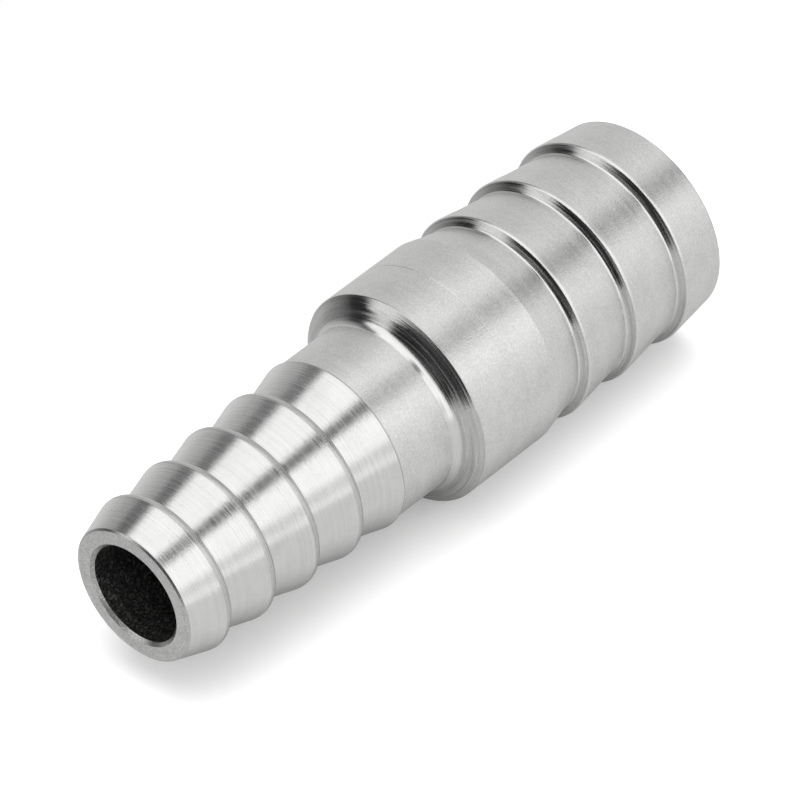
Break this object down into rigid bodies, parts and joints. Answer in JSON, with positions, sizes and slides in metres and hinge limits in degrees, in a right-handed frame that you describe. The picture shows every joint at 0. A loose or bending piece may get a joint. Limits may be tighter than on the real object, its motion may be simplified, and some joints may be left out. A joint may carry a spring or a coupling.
{
  "type": "hose barb reducer",
  "caption": "Straight metal hose barb reducer with a barbed tail for a narrow hose, a plain neck and collar, a barbed tail for a wider hose and a stepped bore right through.",
  "frame": {"origin": "centre of the end face of the large hose tail, which the part stands on", "axes": "+Z along the bore's axis, from the large hose tail to the small one; the part is a body of revolution, so X and Y are free"},
  "size_m": [0.0178, 0.0178, 0.0559],
  "materials": {
    "stainless_steel": "satin, fine turned, with bright step faces"
  },
  "bodies": {
    "root": {"reducer_body": "stainless_steel"}
  },
  "joints": []
}
